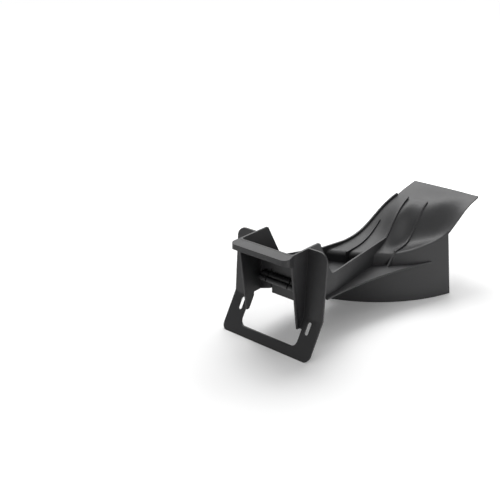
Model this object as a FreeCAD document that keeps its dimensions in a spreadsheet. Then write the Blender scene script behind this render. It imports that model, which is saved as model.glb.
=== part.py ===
import FreeCAD, Part
import Sketcher
import math
import os
import sys

# Mulching plug for a 40 cm lawn mower: one moulded piece that closes the rear discharge channel.
# Origin: middle of the lower bar of the front frame, on the ground.
# X runs across the plug, Y from the front frame to the tail, Z up. Millimetres and degrees.

Vector = FreeCAD.Vector
document = FreeCAD.newDocument("mulching_plug")
sheet = document.addObject("Spreadsheet::Sheet", "sizes")

SIZES = [
    # front frame, a bent plate that seats around the discharge opening
    ("part_height", 152.0),
    ("frame_width", 160.0),
    ("frame_depth", 3.4),
    ("frame_bend_y", 31.6),
    ("frame_bend_z", 52.4),
    ("frame_lean", 6.4),
    ("frame_foot_radius", 9.0),
    ("frame_ear_radius", 14.0),
    ("opening_half_width", 51.5),
    ("opening_sill", 12.4),
    ("opening_head", 36.0),
    ("opening_radius", 9.0),
    ("slot_offset", 61.1),
    ("slot_height", 38.5),
    ("slot_wide", 6.0),
    ("slot_long", 19.0),
    # side walls of the channel
    ("wall_outside", 47.8),
    ("wall_thick", 3.0),
    ("wall_front_y", 3.0),
    ("wall_tip_y", 17.5),
    ("wall_tip_z", 35.6),
    ("wall_apex_y", 64.0),
    ("wall_apex_radius", 5.0),
    ("wall_rear_y", 96.0),
    ("wall_foot_y", 110.0),
    ("wall_rear_radius", 7.0),
    # handle ledge, sloping roof and cross wall
    ("ledge_half_width", 51.5),
    ("ledge_front_y", -14.0),
    ("ledge_back_y", 6.0),
    ("ledge_fall", 2.0),
    ("ledge_lip", 8.0),
    ("ledge_heel", 17.0),
    ("ledge_radius", 9.0),
    ("ledge_corner", 4.0),
    ("sheet_thick", 3.0),
    ("cross_wall_y", 48.0),
    ("cross_wall_top", 110.0),
    # spring tongue in the cross wall
    ("tongue_left", -24.0),
    ("tongue_right", 14.0),
    ("tongue_slit", 1.6),
    ("tongue_slit_top", 97.0),
    ("notch_height", 7.0),
    ("grip_left", -36.0),
    ("ridge_radius", 5.0),
    ("ridge_y", 44.5),
    ("ridge_z", 87.5),
    ("nose_radius", 4.0),
    ("nose_y", 38.0),
    ("nose_z", 84.0),
    ("relief_length", 16.0),
    # table, the level shelf that joins the channel to the closing wall
    ("table_top", 62.0),
    ("table_edge_start_x", 53.0),
    ("table_edge_start_y", 81.0),
    ("table_edge_bulge_x", 67.0),
    ("table_edge_bulge_y", 190.0),
    ("table_edge_end_x", 99.0),
    ("table_edge_end_y", 293.0),
    # closing wall, a cone about the blade axis
    ("chamber_x", -98.0),
    ("chamber_y", 395.0),
    ("closing_foot_radius", 226.0),
    ("closing_head_radius", 215.2),
    ("closing_head_z", 106.0),
    ("closing_thick", 3.0),
    ("closing_end", 18.7),
    ("closing_end_lean", 2.7),
    ("crest_radius_far", 9.0),
    ("crest_radius_near", 4.0),
    # ramp, an S-shaped plate that rises from the closing wall to the tail
    ("ramp_thick", 3.2),
    ("ramp_entry", 80.0),
    ("ramp_entry_near", 91.5),
    ("ramp_tail", 148.0),
    ("ramp_tail_slope", 0.14),
    ("ramp_station_far", -11.0),
    ("ramp_station_web", 30.0),
    ("ramp_station_rib", 57.0),
    ("ramp_station_near", 108.0),
    ("ramp_middle_far", 285.0),
    ("ramp_middle_web", 280.0),
    ("ramp_middle_rib", 308.0),
    ("ramp_middle_near", 340.0),
    ("ramp_ease_far", 20.0),
    ("ramp_ease_web", 15.0),
    ("ramp_ease_rib", 10.5),
    ("ramp_ease_near", 13.0),
    ("far_edge_x", 0.0),
    ("far_edge_y", 343.0),
    # webs and ribs
    ("web_thick", 2.8),
    ("web_rim", 94.5),
    ("web_over_ramp", 4.0),
    ("near_web_end_x", 24.6),
    ("near_web_end_y", 334.0),
    ("near_web_level_y", 262.0),
    ("far_web_end_y", 340.0),
    ("far_web_low_y", 180.0),
    ("far_web_low_z", 86.0),
    ("rib_over_ramp", 3.0),
    ("low_rib_x", 3.0),
    ("low_rib_start_y", 196.0),
    ("low_rib_end_y", 287.0),
    ("foot_rib_x", 57.5),
    ("foot_rib_start_y", 228.5),
    ("foot_rib_top_y", 248.0),
    ("foot_rib_top_z", 82.0),
    ("foot_rib_end_y", 338.0),
]

for row, (alias, value) in enumerate(SIZES, start=1):
    sheet.set("A%d" % row, alias)
    sheet.set("B%d" % row, str(value))
    sheet.setAlias("B%d" % row, alias)
document.recompute()

# Margins by which a cutting tool runs past what it cuts
OVERRUN = 1.0
FAR_PAST = 60.0
SURFACE_MARGIN = 20.0

# Two places nearer than this are taken as one
SAME_PLACE = 0.001

# Share of a slot's width that rounds each of its ends: just under a half, so that a flat stays between
SLOT_ROUNDING = 0.499


class Size:
    """A length with the spreadsheet expression that gives it, so that both stay together."""

    def __init__(self, value, text):
        self.value = float(value)
        self.text = text

    def __add__(self, other):
        other = as_size(other)
        return Size(self.value + other.value, "(%s + %s)" % (self.text, other.text))

    def __sub__(self, other):
        other = as_size(other)
        return Size(self.value - other.value, "(%s - %s)" % (self.text, other.text))

    def __mul__(self, other):
        other = as_size(other)
        return Size(self.value * other.value, "(%s * %s)" % (self.text, other.text))

    def __truediv__(self, other):
        other = as_size(other)
        return Size(self.value / other.value, "(%s / %s)" % (self.text, other.text))

    def __neg__(self):
        return Size(-self.value, "(0 - %s)" % self.text)


def as_size(value):
    """A Size as it is, or a plain number as a Size."""
    if isinstance(value, Size):
        return value
    return Size(value, "(%s)" % value)


def size(alias):
    """The Size that a spreadsheet cell holds."""
    return Size(sheet.get(alias), "sizes.%s" % alias)


def number(alias):
    """The plain number that a spreadsheet cell holds."""
    return float(sheet.get(alias))


# Sketches and bodies


def new_body(name):
    """A PartDesign body with a label."""
    body = document.addObject("PartDesign::Body", name)
    body.Label = name
    return body


def new_sketch(body, name, plane_role):
    """A sketch on one of the body's own origin planes."""
    sketch = body.newObject("Sketcher::SketchObject", name)
    plane = [item for item in body.Origin.OriginFeatures if item.Role == plane_role][0]
    sketch.AttachmentSupport = [(plane, "")]
    sketch.MapMode = "FlatFace"
    return sketch


def pin_point(sketch, geometry, end, across, up):
    """Fix one point of the sketch at a place given by two Sizes."""
    for kind, where in (("DistanceX", across), ("DistanceY", up)):
        index = sketch.addConstraint(Sketcher.Constraint(kind, -1, 1, geometry, end, where.value))
        sketch.setExpression("Constraints[%d]" % index, where.text)


def draw_outline(sketch, corners):
    """Closed outline of straight lines through the corners, each fixed by its Sizes."""
    corners = [(as_size(across), as_size(up)) for across, up in corners]
    points = [Vector(across.value, up.value, 0) for across, up in corners]
    count = len(points)
    for index in range(count):
        sketch.addGeometry(Part.LineSegment(points[index], points[(index + 1) % count]), False)
    for index in range(count):
        sketch.addConstraint(Sketcher.Constraint("Coincident", index, 2, (index + 1) % count, 1))
    for index, (across, up) in enumerate(corners):
        pin_point(sketch, index, 1, across, up)


def pad(body, sketch, length, both_ways=False):
    """Pad the sketch by the length, upwards or half to each side of its plane."""
    feature = body.newObject("PartDesign::Pad", body.Name + "_pad")
    feature.Profile = sketch
    feature.Midplane = both_ways
    feature.setExpression("Length", as_size(length).text)
    document.recompute()
    return feature


def prism(name, plane_role, corners, length, both_ways=False):
    """Body padded from a straight-sided outline on one of its origin planes."""
    body = new_body(name)
    outline = new_sketch(body, name + "_outline", plane_role)
    draw_outline(outline, corners)
    return body, pad(body, outline, length, both_ways)


def round_edges(body, feature, chosen, radius, name):
    """Fillet those edges of the feature for which chosen(edge) is true."""
    names = ["Edge%d" % (index + 1) for index, edge in enumerate(feature.Shape.Edges) if chosen(edge)]
    fillet = body.newObject("PartDesign::Fillet", name)
    fillet.Base = (feature, names)
    fillet.setExpression("Radius", as_size(radius).text)
    document.recompute()
    return fillet


def edge_test(axis, **places):
    """Test for the straight edges along an axis whose middle lies at the given places."""
    def chosen(edge):
        if len(edge.Vertexes) != 2:
            return False
        step = edge.Vertexes[1].Point - edge.Vertexes[0].Point
        if step.Length - abs(getattr(step, axis)) > SAME_PLACE:
            return False
        middle = edge.CenterOfMass
        return all(abs(getattr(middle, name) - where.value) < SAME_PLACE for name, where in places.items())
    return chosen


def place(item, **places):
    """Bind the place of an object along the named axes."""
    for axis, where in places.items():
        item.setExpression("Placement.Base." + axis, as_size(where).text)


# Primitives and booleans


def box(name, x, y, z):
    """Box between two Sizes along each axis."""
    item = document.addObject("Part::Box", name)
    for side, axis, (low, high) in (("Length", "x", x), ("Width", "y", y), ("Height", "z", z)):
        item.setExpression(side, (as_size(high) - low).text)
        place(item, **{axis: low})
    return item


def rod(name, left, right, y, z, radius):
    """Round bar along X with a ball at its left end."""
    bar = document.addObject("Part::Cylinder", name + "_bar")
    bar.setExpression("Radius", radius.text)
    bar.setExpression("Height", (right - left).text)
    bar.Placement.Rotation = FreeCAD.Rotation(Vector(0, 1, 0), 90)
    place(bar, x=left, y=y, z=z)
    ball = document.addObject("Part::Sphere", name + "_end")
    ball.setExpression("Radius", radius.text)
    place(ball, x=left, y=y, z=z)
    return [bar, ball]


def cut(name, base, tool):
    """The base without the tool."""
    item = document.addObject("Part::Cut", name)
    item.Base, item.Tool = base, tool
    return item


def common(name, shapes):
    """What all the shapes share."""
    item = document.addObject("Part::MultiCommon", name)
    item.Shapes = shapes
    return item


def fuse(name, shapes):
    """All the shapes as one."""
    item = document.addObject("Part::MultiFuse", name)
    item.Shapes = shapes
    return item


# Front frame


def front_prism(name, half, low, high, low_radius, high_radius=None):
    """Prism along Y over a rectangle seen from the front, with round corners."""
    corners = [(-half, low), (half, low), (half, high), (-half, high)]
    body, feature = prism(name, "XZ_Plane", corners, size("frame_width"), True)
    feature = round_edges(body, feature, edge_test("y", z=low), low_radius, name + "_low")
    if high_radius is not None:
        round_edges(body, feature, edge_test("y", z=high), high_radius, name + "_high")
    return body


def make_slot(name, side):
    """Cutting tool for a slot, along the slope of the lower part of the frame."""
    width, length = size("slot_wide"), size("slot_long")
    half, reach = width * 0.5, length * 0.5
    corners = [(-half, -reach), (half, -reach), (half, reach), (-half, reach)]
    body, feature = prism(name, "XY_Plane", corners, size("frame_depth") * 6, True)
    round_edges(body, feature, edge_test("z"), width * SLOT_ROUNDING, name + "_ends")
    slope = math.degrees(math.atan2(number("frame_bend_z"), number("frame_bend_y")))
    body.Placement.Rotation = FreeCAD.Rotation(Vector(1, 0, 0), slope)
    along = size("frame_bend_y") * size("slot_height") / size("frame_bend_z") + size("frame_depth") * 0.5
    place(body, x=size("slot_offset") * side, y=along, z=size("slot_height"))
    return body


def make_frame():
    """Bent plate with round corners, its opening, the way through the channel and two slots."""
    depth, top = size("frame_depth"), size("part_height")
    bend_y, bend_z = size("frame_bend_y"), size("frame_bend_z")
    top_y = bend_y + size("frame_lean")
    plate, _ = prism("frame_plate", "YZ_Plane",
                     [(0, 0), (depth, 0), (bend_y + depth, bend_z), (top_y + depth, top), (top_y, top),
                      (bend_y, bend_z)], size("frame_width"), True)
    face = front_prism("frame_face", size("frame_width") * 0.5, as_size(0), top,
                       size("frame_foot_radius"), size("frame_ear_radius"))
    opening = front_prism("frame_opening", size("opening_half_width"), size("opening_sill"),
                          size("opening_head"), size("opening_radius"))
    inside = size("wall_outside") - size("wall_thick") * 0.5
    channel = box("frame_channel", (-inside, inside), (-FAR_PAST, FAR_PAST),
                  (size("opening_head") - OVERRUN, top + OVERRUN))
    holes = fuse("frame_holes", [opening, channel, make_slot("left_slot", -1), make_slot("right_slot", 1)])
    return cut("frame", common("frame_blank", [plate, face]), holes)


# Side walls


def make_side_wall(name, side):
    """Kite-shaped wall that stands through the frame and leads into a web at its rear foot."""
    top, foot = size("part_height"), size("table_top") - size("sheet_thick")
    bend_y, bend_z = size("frame_bend_y"), size("frame_bend_z")
    tip_y, tip_z = size("wall_tip_y"), size("wall_tip_z")
    apex, rear, rim = size("wall_apex_y"), size("wall_rear_y"), size("web_rim")
    body, feature = prism(name, "YZ_Plane", [
        (size("wall_front_y"), top), (size("wall_front_y"), top - size("ledge_heel")), (tip_y, tip_z),
        (bend_y * tip_z / bend_z + OVERRUN, tip_z), (bend_y + OVERRUN, bend_z), (bend_y + OVERRUN * 2, foot),
        (size("wall_foot_y"), foot), (size("wall_foot_y"), rim), (rear, rim), (apex, top),
    ], size("wall_thick"), True)
    feature = round_edges(body, feature, edge_test("x", y=apex, z=top), size("wall_apex_radius"),
                          name + "_apex")
    round_edges(body, feature, edge_test("x", y=rear, z=rim), size("wall_rear_radius"), name + "_foot")
    place(body, x=(size("wall_outside") - size("wall_thick") * 0.5) * side)
    return body


# Handle ledge, roof and cross wall


def ledge_plan(name, inset, radius, low, high, back):
    """Prism over the plan of the ledge, drawn in by an inset, with round front corners."""
    wide, narrow = size("ledge_half_width") - inset, size("wall_outside") - inset
    front = size("ledge_front_y") + inset
    corners = [(-wide, front), (wide, front), (narrow, back), (-narrow, back)]
    body, feature = prism(name, "XY_Plane", corners, high - low)
    round_edges(body, feature, edge_test("z", y=front), radius, name + "_corners")
    place(body, z=low)
    return body


def make_ledge():
    """Handle ledge, hollow from below: it falls to the front and its lip runs round both corners."""
    thick, top = size("sheet_thick"), size("part_height")
    front, back = size("ledge_front_y"), size("ledge_back_y")
    front_top = top - size("ledge_fall")
    heel = top - size("ledge_heel")
    side, _ = prism("ledge_side", "YZ_Plane", [
        (front, front_top - size("ledge_lip")), (size("wall_front_y"), heel), (back, heel), (back, top),
        (front, front_top),
    ], size("ledge_half_width") * 2 + OVERRUN, True)
    plan = ledge_plan("ledge_plan", as_size(0), size("ledge_radius"), heel - OVERRUN, top + OVERRUN, back)
    cavity = ledge_plan("ledge_cavity", thick, size("ledge_radius") - thick, heel - OVERRUN * 2,
                        front_top - thick, back + OVERRUN)
    return cut("ledge", common("ledge_blank", [side, plan]), cavity)


def make_ledge_corner(name, side):
    """Concave corner that leads the back edge of the ledge into the top of a side wall."""
    corner, thick, top = size("ledge_corner"), size("sheet_thick"), size("part_height")
    wall = size("wall_outside") - size("wall_thick")
    back = size("ledge_back_y")
    ends = (wall - corner, wall + OVERRUN) if side > 0 else (-wall - OVERRUN, corner - wall)
    block = box(name + "_block", ends, (back - OVERRUN, back + corner), (top - thick, top))
    hollow = document.addObject("Part::Cylinder", name + "_hollow")
    hollow.setExpression("Radius", corner.text)
    hollow.setExpression("Height", (thick + OVERRUN * 2).text)
    place(hollow, x=(wall - corner) * side, y=back + corner, z=top - thick - OVERRUN)
    return cut(name, block, hollow)


def make_hood():
    """Bent sheet from the back of the ledge over the sloping roof to the foot of the cross wall."""
    thick, top, back = size("sheet_thick"), size("part_height"), size("ledge_back_y")
    wall, wall_top = size("cross_wall_y"), size("cross_wall_top")
    foot = size("table_top") - thick
    sheet_body, _ = prism("hood_sheet", "YZ_Plane", [
        (back - thick, top - thick), (wall, wall_top), (wall, foot), (wall + thick, foot),
        (wall + thick, wall_top + thick * 0.5), (back, top), (back - thick, top),
    ], (size("wall_outside") - size("wall_thick") * 0.5) * 2, True)
    return sheet_body


def make_grip():
    """Finger grip across the cross wall: a ridge and a nose with a shallow valley between them."""
    left, right = size("grip_left"), size("wall_outside") - size("wall_thick") * 0.5
    ridge_y, ridge_z = size("ridge_y"), size("ridge_z")
    nose_y, nose_z = size("nose_y"), size("nose_z")
    wall = size("cross_wall_y") + OVERRUN
    ridge = rod("ridge", left, right, ridge_y, ridge_z, size("ridge_radius"))
    nose = rod("nose", left, right, nose_y, nose_z, size("nose_radius"))
    filling, _ = prism("grip_filling", "YZ_Plane", [
        (nose_y, nose_z - size("nose_radius")), (wall, nose_z - size("nose_radius") * 2),
        (wall, ridge_z + size("ridge_radius")), (ridge_y, ridge_z + size("ridge_radius")),
        (ridge_y - size("ridge_radius") * 0.6, ridge_z), (nose_y, nose_z + size("nose_radius") * 0.6),
    ], right - left)
    place(filling, x=left)
    return ridge + nose + [filling]


def make_tongue_cuts():
    """Slits at both ends of the tongue and the slanted notch beside it."""
    wall, thick = size("cross_wall_y"), size("sheet_thick")
    front = size("nose_y") - size("nose_radius") - OVERRUN
    back = wall + thick + OVERRUN
    slit, foot, top = size("tongue_slit"), size("table_top") - thick, size("tongue_slit_top")
    left, right = size("tongue_left"), size("tongue_right")
    low = size("nose_z") - size("nose_radius") * 2
    side = size("wall_outside") - thick
    notch, _ = prism("notch", "XZ_Plane", [
        (-side, foot - OVERRUN), (left, foot - OVERRUN), (left, foot + size("notch_height")), (-side, foot),
    ], thick * 4, True)
    place(notch, y=wall + thick * 0.5)
    return fuse("tongue_cuts", [
        box("left_slit", (left - slit, left), (front, back), (foot - OVERRUN, top)),
        box("right_slit", (right, right + slit), (front, back), (low, top)),
        notch,
    ])


# Chamber: the closing wall and the ramp grow out of one block


def chamber_block(name, inset):
    """Solid of the blade chamber: a cone below the head of the closing wall, a cylinder above it."""
    body = new_body(name)
    foot = size("closing_foot_radius") - inset
    head, head_z = size("closing_head_radius") - inset, size("closing_head_z")
    tall = size("part_height") + FAR_PAST
    profile = new_sketch(body, name + "_profile", "XZ_Plane")
    draw_outline(profile, [(0, -inset), (foot, -inset), (head, head_z), (head, tall), (0, tall)])
    turn = body.newObject("PartDesign::Revolution", name + "_turn")
    turn.Profile = profile
    turn.ReferenceAxis = (profile, ["V_Axis"])
    turn.Angle = 360.0
    place(body, x=size("chamber_x"), y=size("chamber_y"))
    document.recompute()
    return body


def far_line_x(along):
    """X of the far web's line in plan at a given Y."""
    slope = (size("far_edge_x") + size("wall_outside")) / (size("far_edge_y") - size("wall_rear_y"))
    return size("far_edge_x") - (size("far_edge_y") - along) * slope


def tail_plan(name):
    """Prism over the plan of the tail, from the far edge to the near side and up to the tail edge."""
    far_x, tail_y = size("far_edge_x"), size("chamber_y")
    near = size("closing_foot_radius")
    front = tail_y - near - FAR_PAST
    body, _ = prism(name, "XY_Plane", [
        (far_line_x(front), front), (near, front), (near, tail_y), (far_x, tail_y),
        (far_x, size("far_edge_y")),
    ], size("part_height") + FAR_PAST)
    return body


def beyond_closing_end(name):
    """Block beyond the near end of the closing wall; its face leans, so the foot reaches further."""
    reach = size("closing_foot_radius") * 2
    body, _ = prism(name, "XY_Plane", [(0, 0), (reach, 0), (reach, reach), (0, reach)],
                    (size("part_height") + FAR_PAST) * 2, True)
    turn = FreeCAD.Rotation(Vector(0, 0, 1), -number("closing_end"))
    body.Placement.Rotation = turn * FreeCAD.Rotation(Vector(1, 0, 0), number("closing_end_lean"))
    place(body, x=size("chamber_x"), y=size("chamber_y"), z=size("closing_head_z"))
    return body


def between(position, stations, values):
    """Smooth value between stations, level at each station, held beyond the first and last."""
    if position <= stations[0]:
        return values[0]
    for low, high, first, last in zip(stations, stations[1:], values, values[1:]):
        if position <= high:
            share = (position - low) / (high - low)
            eased = share * share * (3.0 - 2.0 * share)
            return first + (last - first) * eased
    return values[-1]


def station_values(kind):
    """The sheet's values of one kind at the four stations across the ramp."""
    return [number("ramp_%s_%s" % (kind, name)) for name in ("far", "web", "rib", "near")]


def ramp_height(x, y):
    """Height of the top of the ramp above the ground at a place in plan."""
    stations = station_values("station")
    middle = between(x, stations, station_values("middle"))
    ease = between(x, stations, station_values("ease"))
    level = number("ramp_entry")
    entry = between(x, stations, [level, level, level, number("ramp_entry_near")])
    tail = number("ramp_tail") - number("ramp_tail_slope") * (number("chamber_y") - y)
    share = 1.0 / (1.0 + math.exp((middle - y) / ease))
    return entry * (1.0 - share) + tail * share


def below_ramp(name, lift):
    """Solid under the smooth surface of the ramp, lifted or lowered by a distance."""
    reach = number("closing_foot_radius") + SURFACE_MARGIN
    left, right = -number("wall_outside") - SURFACE_MARGIN, number("chamber_x") + reach
    front, back = number("chamber_y") - reach, number("chamber_y") + SURFACE_MARGIN
    # steps of the grid that the surface is laid through
    across, along = 15, 22
    rows = []
    for column in range(across + 1):
        x = left + (right - left) * column / across
        places = [front + (back - front) * step / along for step in range(along + 1)]
        rows.append([Vector(x, y, ramp_height(x, y) + lift) for y in places])
    surface = Part.BSplineSurface()
    surface.interpolate(rows)
    item = document.addObject("Part::Feature", name)
    item.Shape = surface.toShape().extrude(Vector(0, 0, -2.0 * number("part_height")))
    return item


def crest_edges(shape):
    """Edges between the cone of the closing wall and the top of the ramp."""
    found = []
    for index, edge in enumerate(shape.Edges, start=1):
        faces = [face for face in shape.Faces if any(edge.isSame(other) for other in face.Edges)]
        kinds = {face.Surface.TypeId for face in faces}
        if kinds == {"Part::GeomCone", "Part::GeomBSplineSurface"}:
            found.append((index, edge))
    return found


def make_tail():
    """Closing wall and ramp: a block with a round crest, hollowed from below."""
    outer = chamber_block("chamber_outer", as_size(0))
    inner = chamber_block("chamber_inner", size("closing_thick"))
    plan = tail_plan("tail_plan")
    beyond = beyond_closing_end("beyond_end")
    under_top = below_ramp("under_top", 0.0)
    under_plate = below_ramp("under_plate", -number("ramp_thick"))
    block = common("tail_block", [outer, plan, under_top])
    head = cut("closing_block", block, beyond)
    document.recompute()
    crest = document.addObject("Part::Fillet", "round_crest")
    crest.Base = head
    radii = (number("crest_radius_far"), number("crest_radius_near"))
    edges = []
    for index, edge in crest_edges(head.Shape):
        first, last = edge.valueAt(edge.FirstParameter), edge.valueAt(edge.LastParameter)
        ends = radii if first.x < last.x else radii[::-1]
        edges.append((index, ends[0], ends[1]))
    crest.Edges = edges
    open_plate = cut("open_plate", common("tail_rest", [block, beyond]), under_plate)
    crest_plate = cut("crest_plate", crest, under_plate)
    wall = cut("closing_wall", crest, inner)
    tail = fuse("tail", [crest_plate, open_plate, wall])
    return tail, common("tail_hollow", [inner, under_plate])


# Table


def make_table(hollow_wall):
    """Level shelf with a bowed free edge on its near side."""
    body = new_body("table_plate")
    outline = new_sketch(body, "table_outline", "XY_Plane")
    front, outside = size("cross_wall_y"), size("wall_outside")
    start = (size("table_edge_start_x"), size("table_edge_start_y"))
    bulge = (size("table_edge_bulge_x"), size("table_edge_bulge_y"))
    end = (size("table_edge_end_x"), size("table_edge_end_y"))
    corners = [end, (size("ramp_station_web"), size("far_edge_y")), (size("far_edge_x"), size("far_edge_y")),
               (-outside, size("wall_rear_y")), (-outside, front), (outside, front),
               (outside, start[1]), start]
    points = [Vector(across.value, up.value, 0) for across, up in corners]
    last = len(points) - 1
    for index in range(last):
        outline.addGeometry(Part.LineSegment(points[index], points[index + 1]), False)
    middle = Vector(bulge[0].value, bulge[1].value, 0)
    arc = outline.addGeometry(Part.Arc(points[0], middle, points[last]), False)
    for index in range(last - 1):
        outline.addConstraint(Sketcher.Constraint("Coincident", index, 2, index + 1, 1))
    outline.addConstraint(Sketcher.Constraint("Coincident", last - 1, 2, arc, 2))
    outline.addConstraint(Sketcher.Constraint("Coincident", arc, 1, 0, 1))
    for index, (across, up) in enumerate(corners[:-1]):
        pin_point(outline, index, 1, across, up)
    pin_point(outline, last - 1, 2, start[0], start[1])
    spot = outline.addGeometry(Part.Point(middle), True)
    pin_point(outline, spot, 1, bulge[0], bulge[1])
    outline.addConstraint(Sketcher.Constraint("PointOnObject", spot, 1, arc))
    pad(body, outline, size("sheet_thick"))
    place(body, z=size("table_top") - size("sheet_thick"))
    side = size("wall_outside") - size("wall_thick")
    relief = box("tongue_relief", (-side, size("tongue_left")),
                 (front - OVERRUN, front + size("relief_length")), (0, size("table_top") + OVERRUN))
    return cut("table", body, fuse("table_cuts", [relief, hollow_wall]))


# Webs and ribs


def strip(name, start, end, low):
    """Upright strip whose middle plane runs between two places in plan."""
    (start_x, start_y), (end_x, end_y) = start, end
    run_x, run_y = (end_x - start_x).value, (end_y - start_y).value
    item = document.addObject("Part::Box", name)
    thick = size("web_thick")
    run = "sqrt((%s)^2 + (%s)^2)" % ((end_x - start_x).text, (end_y - start_y).text)
    item.setExpression("Length", thick.text)
    item.setExpression("Width", run)
    item.setExpression("Height", (size("part_height") - low).text)
    item.Placement.Rotation = FreeCAD.Rotation(Vector(0, 0, 1), -math.degrees(math.atan2(run_x, run_y)))
    place(item, x=start_x - thick * 0.5, y=start_y, z=low)
    return item


def make_webs(hollow_tail):
    """Both webs and both ribs, each cut to follow the ramp."""
    low = size("table_top") - size("sheet_thick")
    start_y = size("wall_foot_y") - OVERRUN * 2
    middle = size("wall_outside") - size("wall_thick") * 0.5
    rim = size("web_rim")
    over_web = below_ramp("over_web", number("web_over_ramp"))
    over_rib = below_ramp("over_rib", number("rib_over_ramp"))

    near_upright = box("near_upright", (0, FAR_PAST), (start_y, size("near_web_level_y")), (low, rim))
    near = strip("near_strip", (middle, start_y), (size("near_web_end_x"), size("near_web_end_y")), low)
    far_end_y = size("far_web_end_y")
    far_end_x = far_line_x(far_end_y) + size("web_thick") * 0.5
    far = strip("far_strip", (-middle, start_y), (far_end_x, far_end_y), low)
    dip_y, dip_z = size("far_web_low_y"), size("far_web_low_z")
    far_upright, _ = prism("far_upright", "YZ_Plane", [
        (start_y, low), (dip_y + FAR_PAST, low), (dip_y + FAR_PAST, dip_z), (dip_y, dip_z), (start_y, rim),
    ], size("frame_width"), True)
    low_x, foot_x = size("low_rib_x"), size("foot_rib_x")
    low_rib = strip("low_strip", (low_x, size("low_rib_start_y")), (low_x, size("low_rib_end_y")), low)
    foot_start, foot_end, tall = size("foot_rib_start_y"), size("foot_rib_end_y"), size("part_height")
    foot_rib = strip("foot_strip", (foot_x, foot_start), (foot_x, foot_end), low)
    foot_rise, _ = prism("foot_rise", "YZ_Plane", [
        (foot_start, low), (foot_end, low), (foot_end, tall), (size("foot_rib_top_y"), tall),
        (size("foot_rib_top_y"), size("foot_rib_top_z")), (foot_start, size("table_top")),
    ], size("frame_width"), True)

    limits = (
        ("near_web", near, fuse("near_limit", [near_upright, over_web])),
        ("far_web", far, fuse("far_limit", [far_upright, over_web])),
        ("low_rib", low_rib, over_rib),
        ("foot_rib", foot_rib, common("foot_limit", [foot_rise, over_rib])),
    )
    return [cut(name, common(name + "_blank", [blade, limit]), hollow_tail) for name, blade, limit in limits]


# Assembly of the moulding


def join(pieces):
    """Fuse the pieces one after another."""
    whole = pieces[0]
    for piece in pieces[1:]:
        joined = document.addObject("Part::Fuse", "with_" + piece.Name)
        joined.Base, joined.Tool = whole, piece
        whole = joined
    return whole


frame = make_frame()
walls = [make_side_wall("left_wall", -1), make_side_wall("right_wall", 1)]
ledge = make_ledge()
ledge_corners = [make_ledge_corner("left_corner", -1), make_ledge_corner("right_corner", 1)]
hood = cut("hood", fuse("hood_and_grip", [make_hood()] + make_grip()), make_tongue_cuts())
tail, tail_hollow = make_tail()
table = make_table(tail_hollow)
channel_parts = fuse("channel", [frame] + walls + [ledge] + ledge_corners + [hood])
plug = join([channel_parts, table, tail] + make_webs(tail_hollow))
plug.Label = "mulching_plug"
document.recompute()

# Check and write

failed = [item.Name for item in document.Objects if "Invalid" in item.State or "Error" in item.State]
if plug.Shape.isNull() or not plug.Shape.isValid() or len(plug.Shape.Solids) != 1:
    failed.append(plug.Label)
if failed:
    print("failed:", failed)
    sys.exit(1)
os.makedirs("parts", exist_ok=True)
plug.Shape.exportStep("parts/mulching_plug.step")
print("volume %.1f cm3" % (plug.Shape.Volume / 1000.0), plug.Shape.BoundBox)
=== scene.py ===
# %% [markdown]
# # A mower's mulching plug, photographed on white
# The plug closes the discharge channel of a lawn mower, so that the clippings stay under the
# deck and are cut again. It is one injection moulding in black polypropylene. Its shape comes
# from the CAD model; this script gives it rounded edges, its surface, a floor, light and a
# camera.
#
# First the imported CAD model is loaded. Every CAD node sits at the origin with its place in its
# mesh, in metres.

# %% Load the CAD frame
import math

import bmesh
import bpy
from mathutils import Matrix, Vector
from mathutils.bvhtree import BVHTree
from mathutils.geometry import intersect_point_line


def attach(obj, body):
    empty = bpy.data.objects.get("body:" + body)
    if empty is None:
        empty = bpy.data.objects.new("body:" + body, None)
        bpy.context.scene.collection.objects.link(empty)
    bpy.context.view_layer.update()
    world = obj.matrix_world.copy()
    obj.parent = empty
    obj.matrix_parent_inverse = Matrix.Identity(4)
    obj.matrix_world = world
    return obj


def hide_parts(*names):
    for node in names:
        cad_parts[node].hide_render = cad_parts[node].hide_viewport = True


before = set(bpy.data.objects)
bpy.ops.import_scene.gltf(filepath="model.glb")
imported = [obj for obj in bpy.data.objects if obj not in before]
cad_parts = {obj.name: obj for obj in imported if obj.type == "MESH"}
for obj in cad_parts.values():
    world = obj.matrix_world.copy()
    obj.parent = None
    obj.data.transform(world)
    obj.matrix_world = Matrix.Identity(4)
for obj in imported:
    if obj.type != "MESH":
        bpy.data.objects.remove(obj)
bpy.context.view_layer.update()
millimetre = 0.001

# %% [markdown]
# ## Camera
# The photograph was taken from the plug's near side, a little above it. A camera can be
# described by where it stands and which way it looks. Both were solved from straight edges that
# show in the picture, so the render can be laid over it. A camera that tracks an empty would
# look the same, but then its turn would hang on a second object. Here the camera is turned
# once, by aiming its -Z axis along the view direction and keeping +Y up, which is how Blender's
# cameras look.

# %% Camera
camera_place = Vector((681.9, -812.8, 605.8)) * millimetre
azimuth = math.radians(40.98)
elevation = math.radians(23.31)
view_direction = Vector((
    -math.sin(azimuth) * math.cos(elevation),
    math.cos(azimuth) * math.cos(elevation),
    -math.sin(elevation),
))
camera_data = bpy.data.cameras.new("camera")
camera_data.sensor_width = 36.0
camera_data.lens = 61.2
camera_data.clip_start = 0.01
camera = bpy.data.objects.new("camera", camera_data)
bpy.context.scene.collection.objects.link(camera)
camera.location = camera_place
camera.rotation_euler = view_direction.to_track_quat("-Z", "Y").to_euler()
bpy.context.scene.camera = camera
print("Camera looks along", [round(value, 3) for value in view_direction])

# %% [markdown]
# ## Colours
# A colour picker shows sRGB hex values. A renderer works in linear light, where twice the number
# is twice the light. So every colour below is written as a hex value, which can be held against
# the photograph, and one function turns it to linear light.

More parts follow.
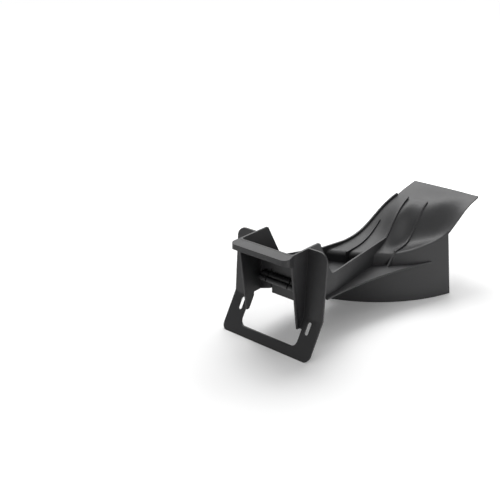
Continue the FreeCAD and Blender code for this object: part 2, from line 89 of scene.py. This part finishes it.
# %% Hex values to linear light
def linear(hex_code):
    """The linear colour of an sRGB hex value such as #2b2b2d, with full alpha.

    A channel c up to 0.04045 becomes c / 12.92, and a larger one becomes
    ((c + 0.055) / 1.055) to the power 2.4.
    """
    channels = [int(hex_code[start:start + 2], 16) / 255.0 for start in (1, 3, 5)]
    levels = [c / 12.92 if c <= 0.04045 else ((c + 0.055) / 1.055) ** 2.4 for c in channels]
    return (*levels, 1.0)


print("Mid grey #808080 in linear light:", round(linear("#808080")[0], 3))

# %% [markdown]
# ## The plastic
# The plug is moulded in black polypropylene, coloured with carbon black. The mould's face is
# spark eroded, so the surface is satin and very finely grained: it reflects a broad soft light
# as a grey sheen, and it stays near black where it reflects nothing.
#
# A material in Blender is a graph of nodes. It could be drawn by hand in the Shader Editor, but
# then this script couldn't make it again. One small function adds a node with its settings and
# its links, so that each material reads like a recipe, from its place on the piece to its
# output.

# %% An empty material for the plastic
def new_material(name):
    """An empty node material, its node tree and its output node."""
    material = bpy.data.materials.new(name)
    material.use_nodes = True
    tree = material.node_tree
    tree.nodes.clear()
    return material, tree, tree.nodes.new("ShaderNodeOutputMaterial")


def add_node(tree, kind, settings=None, inputs=None, links=None):
    """Add a node, set its properties and sockets, and link other nodes' outputs to its sockets."""
    node = tree.nodes.new(kind)
    for name, value in (settings or {}).items():
        setattr(node, name, value)
    for socket, value in (inputs or {}).items():
        node.inputs[socket].default_value = value
    for socket, source in (links or {}).items():
        tree.links.new(source, node.inputs[socket])
    return node


plastic, tree, output = new_material("black_polypropylene")
print("Material:", plastic.name)

# %% [markdown]
# ## Grain and flow marks
# The grain could be a picture of such a surface wrapped round the part, but that needs seams.
# Noise that is worked out at each point of space has none, and its scale is a real length. The
# grain of such a mould is 0.1 to 0.3 mm, too fine for this picture, so it is drawn at 1.4 mm. A
# second, slow noise stands for flow marks, which change the tone and the gloss a little from
# place to place.

# %% Grain and flow marks
grain_pitch = 1.4 * millimetre
flow_pitch = 60.0 * millimetre
place = add_node(tree, "ShaderNodeTexCoord")
grain = add_node(tree, "ShaderNodeTexNoise",
                 inputs={"Scale": 1.0 / grain_pitch, "Detail": 2.0, "Roughness": 0.55},
                 links={"Vector": place.outputs["Object"]})
flow = add_node(tree, "ShaderNodeTexNoise",
                inputs={"Scale": 1.0 / flow_pitch, "Detail": 3.0, "Roughness": 0.5},
                links={"Vector": place.outputs["Object"]})
print("Noise per metre:", round(1.0 / grain_pitch), "grain,", round(1.0 / flow_pitch), "flow")

# %% [markdown]
# ## Tone, gloss and bump
# Black polypropylene is a little lighter than pure black, and its satin face scatters what it
# reflects, so its roughness is about a half. The flow noise moves both a little. The grain is a
# bump of a twentieth of a millimetre, which the eye reads as a fine mottle in the sheen.
#
# Polypropylene's IOR is 1.49. The specular level is somewhat over Blender's plain 0.5, because
# the sheen in the photograph is stronger. Both are the same all over the surface, so they are
# set on the shader itself.

# %% Black moulded polypropylene
flow_low, flow_high = 0.3, 0.7  # the noise seldom leaves this range
satin_roughness, dull_roughness = 0.48, 0.56
grain_height = 0.05 * millimetre
gloss = add_node(tree, "ShaderNodeMapRange",
                 inputs={"From Min": flow_low, "From Max": flow_high,
                         "To Min": satin_roughness, "To Max": dull_roughness},
                 links={"Value": flow.outputs["Fac"]})
tone = add_node(tree, "ShaderNodeMix", settings={"data_type": "RGBA"},
                inputs={"A": linear("#151517"), "B": linear("#1a1a1c")},
                links={"Factor": flow.outputs["Fac"]})
grain_bump = add_node(tree, "ShaderNodeBump",
                      inputs={"Strength": 0.6, "Distance": grain_height},
                      links={"Height": grain.outputs["Fac"]})
shader = add_node(tree, "ShaderNodeBsdfPrincipled",
                  inputs={"IOR": 1.49, "Specular IOR Level": 0.7},
                  links={"Base Color": tone.outputs["Result"],
                         "Roughness": gloss.outputs["Result"],
                         "Normal": grain_bump.outputs["Normal"]})
tree.links.new(shader.outputs["BSDF"], output.inputs["Surface"])
print("Plastic:", plastic.name, "with", len(tree.nodes), "nodes")

# %% [markdown]
# ## The moulding's shape
# A real moulding has no knife edges: every edge is rounded by a few tenths of a millimetre, and
# it is these roundings that catch the light along the rims. The CAD model's edges are sharp.
# They could be rounded in the CAD model, but a fillet on every edge of the curved tail would
# make it heavy and easy to break. The roundings are too small to change what the plug does, so
# they are made here, on a copy of the mesh. The CAD node's own mesh stays as it is.
#
# The copy is read as loose triangles, and a search tree is made of them first. It gives the
# nearest point of the CAD surface in a few steps, where trying every triangle would take
# minutes, and the roundings are measured against it below.

# %% CAD mesh and its search tree
cad_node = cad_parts["mulching_plug"]
moulding = bmesh.new()
moulding.from_mesh(cad_node.data)
cad_surface = BVHTree.FromBMesh(moulding)
print("CAD mesh:", len(moulding.faces), "triangles")

# %% [markdown]
# ## Whole faces
# The Bevel modifier rounds the edge between two faces, and it needs room on both. So points that
# lie together are merged, edges without length are taken out, and triangles that lie in one
# plane are joined to one face. A Decimate modifier could join them too, but its result changes
# with every step before it, while this is done once and the later steps keep hold of the edges.

# %% Merged points and joined faces
merge_distance = 0.1 * millimetre
least_length = 0.01 * millimetre
flat_angle = math.radians(0.02)
bmesh.ops.remove_doubles(moulding, verts=moulding.verts, dist=merge_distance)
bmesh.ops.dissolve_degenerate(moulding, edges=moulding.edges, dist=least_length)
bmesh.ops.dissolve_limit(moulding, angle_limit=flat_angle, verts=moulding.verts,
                         edges=moulding.edges, use_dissolve_boundaries=False)
for face in moulding.faces:
    face.smooth = True
print("Merged mesh:", len(moulding.verts), "points,", len(moulding.faces), "faces")

# %% [markdown]
# ## Sharp edges
# An edge is sharp where its two faces meet at more than 31 degrees; the facets of the curved
# walls meet at less. Each sharp edge stores the share of the radius that it gets as its bevel
# weight, which the Bevel modifier reads. Outer edges get all of the radius. Inner edges, at the
# foot of a wall or rib, get half of it, because a low rib has little room between its top and
# its foot.

# %% Sharp edges and their shares
sharp_angle = math.radians(31.0)
inner_share = 0.5
share_of = moulding.edges.layers.float.new("bevel_weight_edge")
sharp_edges = [edge for edge in moulding.edges if edge.calc_face_angle(0.0) > sharp_angle]
for edge in sharp_edges:
    edge[share_of] = 1.0 if edge.is_convex else inner_share
outer_edges = sum(edge.is_convex for edge in sharp_edges)
print("Sharp edges:", outer_edges, "outer and", len(sharp_edges) - outer_edges, "inner")

# %% [markdown]
# ## Rims
# A rim is a run of edges that follow one another almost straight, such as the top of a web. If
# its edges were narrowed one by one, the rounding would change its width from edge to edge and
# look chewed. So the edges are sorted into rims, and a rim has one share of the radius from end
# to end.

# %% Sharp edges sorted into rims
rim_bend = math.radians(35.0)


def find_rims(edges):
    """The edges in groups.

    Two edges belong together where they share a corner, are both outer or both inner edges, and
    the cosine of the turn from one to the other is larger than that of rim_bend.
    """
    straight = math.cos(rim_bend)
    members = set(edges)
    groups = []
    while members:
        group, todo = [], [members.pop()]
        while todo:
            edge = todo.pop()
            group.append(edge)
            for corner in edge.verts:
                along = (corner.co - edge.other_vert(corner).co).normalized()
                alike = [item for item in corner.link_edges
                         if item in members and item.is_convex == edge.is_convex]
                for other in alike:
                    onward = (other.other_vert(corner).co - corner.co).normalized()
                    if onward.dot(along) > straight:
                        members.remove(other)
                        todo.append(other)
        groups.append(group)
    return groups


rims = find_rims(sharp_edges)
print("Rims:", len(rims), "and the longest has", max(len(rim) for rim in rims), "edges")

# %% [markdown]
# ## Rounded edges
# The Bevel modifier cuts each sharp edge back by its share of the radius and fills the gap with
# three strips of faces. Its Clamp Overlap would make every rounding as narrow as the tightest
# place allows, so it is off, and the tight places are looked for below.

# %% Bevel modifier
edge_radius = 0.6 * millimetre
plug_data = bpy.data.meshes.new("moulded_plug")
plug = bpy.data.objects.new("moulded_plug", plug_data)
bpy.context.scene.collection.objects.link(plug)
moulding.to_mesh(plug_data)
bevel = plug.modifiers.new("rounded_edges", "BEVEL")
bevel.width = edge_radius
bevel.segments = 3
bevel.limit_method = "WEIGHT"
bevel.harden_normals = True
bevel.use_clamp_overlap = False
print("Moulding:", len(plug_data.polygons), "faces before rounding")

# %% [markdown]
# ## Points that leave the surface
# The modifier slides each corner along the edges that meet there. Where triangles are narrower
# than the rounding it can slide too far, and a point then leaves the surface. A smaller radius
# everywhere would cure that, but the rims would lose their light. Instead every point of the
# rounded mesh is measured against the CAD surface, and one that is further from it than half the
# radius is called stray. It may have been thrown far from the corner that it came from, but its
# neighbours show where that was, so they are kept with it. An edge that is very long says
# nothing about the place, and its far end is left out.

# %% Stray points at the full radius
stray_distance = 0.5 * edge_radius
longest_throw = 15.0 * millimetre


def stray_points(piece, surface):
    """The finished piece's points over stray_distance from a surface, each with its neighbours.

    A neighbour is the other end of an edge that is shorter than longest_throw.
    """
    finished = piece.evaluated_get(bpy.context.evaluated_depsgraph_get())
    rounded = bmesh.new()
    rounded.from_mesh(finished.to_mesh())
    finished.to_mesh_clear()
    spots = []
    for point in rounded.verts:
        if surface.find_nearest(point.co)[3] > stray_distance:
            short = [edge for edge in point.link_edges if edge.calc_length() < longest_throw]
            spots.append([point.co.copy()] + [edge.other_vert(point).co.copy() for edge in short])
    rounded.free()
    return spots


strays = stray_points(plug, cad_surface)
print("Stray points at the full radius:", len(strays))

# %% [markdown]
# ## Narrower roundings in tight places
# Every rim near a stray point, or near one of its neighbours, is given half of its share, and
# the points are measured again, until none is stray. A rim that has come down to a fifth of the
# radius or less is left sharp the next time, because so narrow a rounding no longer shows.

# %% Narrowed rims
near_distance = 2.0 * edge_radius
narrower = 0.5
least_share = 0.2
rounding_attempts = 12


def is_near(edge, point):
    """Whether a point is less than near_distance from the nearest point between an edge's ends."""
    start, end = (corner.co for corner in edge.verts)
    nearest, part = intersect_point_line(point, start, end)
    if part < 0.0:
        nearest = start
    elif part > 1.0:
        nearest = end
    return (nearest - point).length < near_distance


for attempt in range(2, rounding_attempts + 1):
    if not strays:
        break
    for rim in rims:
        if any(is_near(edge, point) for edge in rim for spot in strays for point in spot):
            for edge in rim:
                share = edge[share_of]
                edge[share_of] = share * narrower if share > least_share else 0.0
    moulding.to_mesh(plug_data)
    strays = stray_points(plug, cad_surface)
    print("Rounding, attempt", attempt, "stray points:", len(strays))
moulding.free()

# %% [markdown]
# ## Shading and finish
# A Weighted Normal modifier shades the large faces flat and leaves the turn of the surface to
# the roundings between them, as on a real moulding. A Subdivision Surface would round the edges
# too, but it would also bend the flat walls. The plug then gets its plastic, rides on the part's
# one body and stands for the CAD node, which is hidden.

# %% The moulding with its finish
plug_data.set_sharp_from_angle(angle=sharp_angle)
weighted = plug.modifiers.new("weighted_normals", "WEIGHTED_NORMAL")
weighted.keep_sharp = True
plug_data.materials.append(plastic)
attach(plug, "root")
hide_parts("mulching_plug")
print("Moulding:", plug.name, "in", plug_data.materials[0].name)

# %% [markdown]
# ## Floor
# The plug stands on white paper that runs out of the picture. A curved backdrop would hide the
# horizon too, but the camera looks down far enough for a large flat sheet to fill the picture.

# %% Floor
floor_reach = 6.0
floor_corners = [(-floor_reach, -floor_reach, 0.0), (floor_reach, -floor_reach, 0.0),
                 (floor_reach, floor_reach, 0.0), (-floor_reach, floor_reach, 0.0)]
floor_data = bpy.data.meshes.new("floor")
floor_data.from_pydata(floor_corners, [], [(0, 1, 2, 3)])
floor = bpy.data.objects.new("floor", floor_data)
bpy.context.scene.collection.objects.link(floor)
print("Floor:", 2.0 * floor_reach, "m square")

# %% [markdown]
# ## White paper
# Uncoated paper scatters light evenly to all sides, so a Diffuse shader is enough for it. To the
# camera it should be plain white with only the plug's shadow on it. More lamps would whiten it,
# but they would grey the black plug too. So a little emission, for camera rays alone, lifts the
# paper to white, while the light that it throws back on the plug stays that of a pale floor.
# Near the plug the lift is small, so that the shadow keeps its depth, and it grows with the
# distance from the plug.

# %% White paper
plug_middle = (0.0, 0.18, 0.0)
lift_start, lift_end = 0.2, 0.9  # metres from plug_middle
shadow_lift, paper_lift = 0.02, 0.7
paper, tree, output = new_material("white_paper")
diffuse = add_node(tree, "ShaderNodeBsdfDiffuse", inputs={"Color": linear("#f4f4f4")})
floor_place = add_node(tree, "ShaderNodeTexCoord")
plug_distance = add_node(tree, "ShaderNodeVectorMath", settings={"operation": "DISTANCE"},
                         inputs={1: plug_middle}, links={0: floor_place.outputs["Object"]})
lift = add_node(tree, "ShaderNodeMapRange", settings={"interpolation_type": "SMOOTHSTEP"},
                inputs={"From Min": lift_start, "From Max": lift_end,
                        "To Min": shadow_lift, "To Max": paper_lift},
                links={"Value": plug_distance.outputs["Value"]})
rays = add_node(tree, "ShaderNodeLightPath")
camera_lift = add_node(tree, "ShaderNodeMath", settings={"operation": "MULTIPLY"},
                       links={0: rays.outputs["Is Camera Ray"], 1: lift.outputs["Result"]})
glow = add_node(tree, "ShaderNodeEmission", inputs={"Color": linear("#ffffff")},
                links={"Strength": camera_lift.outputs["Value"]})
lifted = add_node(tree, "ShaderNodeAddShader",
                  links={0: diffuse.outputs["BSDF"], 1: glow.outputs["Emission"]})
tree.links.new(lifted.outputs["Shader"], output.inputs["Surface"])
floor_data.materials.append(paper)
print("Paper:", paper.name, "with", len(tree.nodes), "nodes")

# %% [markdown]
# ## Key light
# The photograph has the light of a white studio tent: bright from behind and above, softer from
# the camera's side. A picture of a studio all round the scene would give such light, but a few
# softboxes can each be moved and dimmed by itself. The key stands high on the far side and
# throws the shadow on the near side.
#
# A lamp is placed by its azimuth, from +Y towards -X, and its elevation, both in degrees, as
# seen from the middle of the plug. What counts is how bright it looks. An area lamp that gives P
# watts from an area A looks as bright as P / (pi A), so the power is worked out from that.

# %% Key softbox
lamp_target = Vector((0.02, 0.2, 0.06))


def softbox(name, azimuth_degrees, elevation_degrees, distance, wide, high, brightness):
    """A rectangular area lamp that is aimed at lamp_target from a distance.

    With azimuth a and elevation e, the direction to the lamp is (-sin a cos e, cos a cos e,
    sin e). Its power is pi times its width, its height and its brightness.
    """
    turn, rise = math.radians(azimuth_degrees), math.radians(elevation_degrees)
    away = Vector((-math.sin(turn) * math.cos(rise),
                   math.cos(turn) * math.cos(rise),
                   math.sin(rise)))
    data = bpy.data.lights.new(name, "AREA")
    data.shape = "RECTANGLE"
    data.size, data.size_y = wide, high
    data.energy = math.pi * wide * high * brightness
    lamp = bpy.data.objects.new(name, data)
    bpy.context.scene.collection.objects.link(lamp)
    lamp.location = lamp_target + away * distance
    lamp.rotation_euler = (-away).to_track_quat("-Z", "Y").to_euler()
    print("Lamp:", name, round(data.energy, 1), "W")


softbox("key_softbox", 66.0, 64.0, distance=1.8, wide=0.9, high=0.9, brightness=6.0)

# %% [markdown]
# ## Lamps that show in the plastic
# A satin black surface shows little but its reflections, so each form needs a lamp where it
# mirrors one to the camera. The rear lamp is mirrored by the ledge and the tail, and the slope
# lamp by the foot of the ramp. The near lamp lights the walls that face +X, and the overhead
# lamp all faces that look up. More fill from all sides would be simpler, but it would flatten
# the forms.

# %% Overhead, rear, slope and near softboxes
softbox("overhead_softbox", 140.0, 75.0, distance=1.7, wide=2.0, high=2.0, brightness=0.7)
softbox("rear_softbox", 40.0, 30.0, distance=2.2, wide=1.2, high=0.8, brightness=2.4)
softbox("slope_softbox", 15.0, 50.0, distance=1.8, wide=1.0, high=0.7, brightness=4.5)
softbox("near_softbox", 265.0, 22.0, distance=1.8, wide=1.1, high=1.2, brightness=2.0)

# %% [markdown]
# ## World
# The tent's walls fill the shadows with a weak even light. They could be a dome of white cloth
# round the scene, but a plain world gives the same light with nothing to build. The camera sees
# the walls as plain white, so the world has full strength for camera rays and a third of it for
# all others. The Standard view transform shows a colour as it is written.

# %% White world
tent_light, tent_seen = 0.32, 1.0
world = bpy.data.worlds.new("studio")
bpy.context.scene.world = world
world.use_nodes = True
tree = world.node_tree
tree.nodes.clear()
sky_rays = add_node(tree, "ShaderNodeLightPath")
sky_level = add_node(tree, "ShaderNodeMapRange",
                     inputs={"To Min": tent_light, "To Max": tent_seen},
                     links={"Value": sky_rays.outputs["Is Camera Ray"]})
sky = add_node(tree, "ShaderNodeBackground", inputs={"Color": linear("#ffffff")},
               links={"Strength": sky_level.outputs["Result"]})
add_node(tree, "ShaderNodeOutputWorld", links={"Surface": sky.outputs["Background"]})
bpy.context.scene.view_settings.view_transform = "Standard"
print("World:", world.name, "at", tent_light, "for light and", tent_seen, "for the camera")
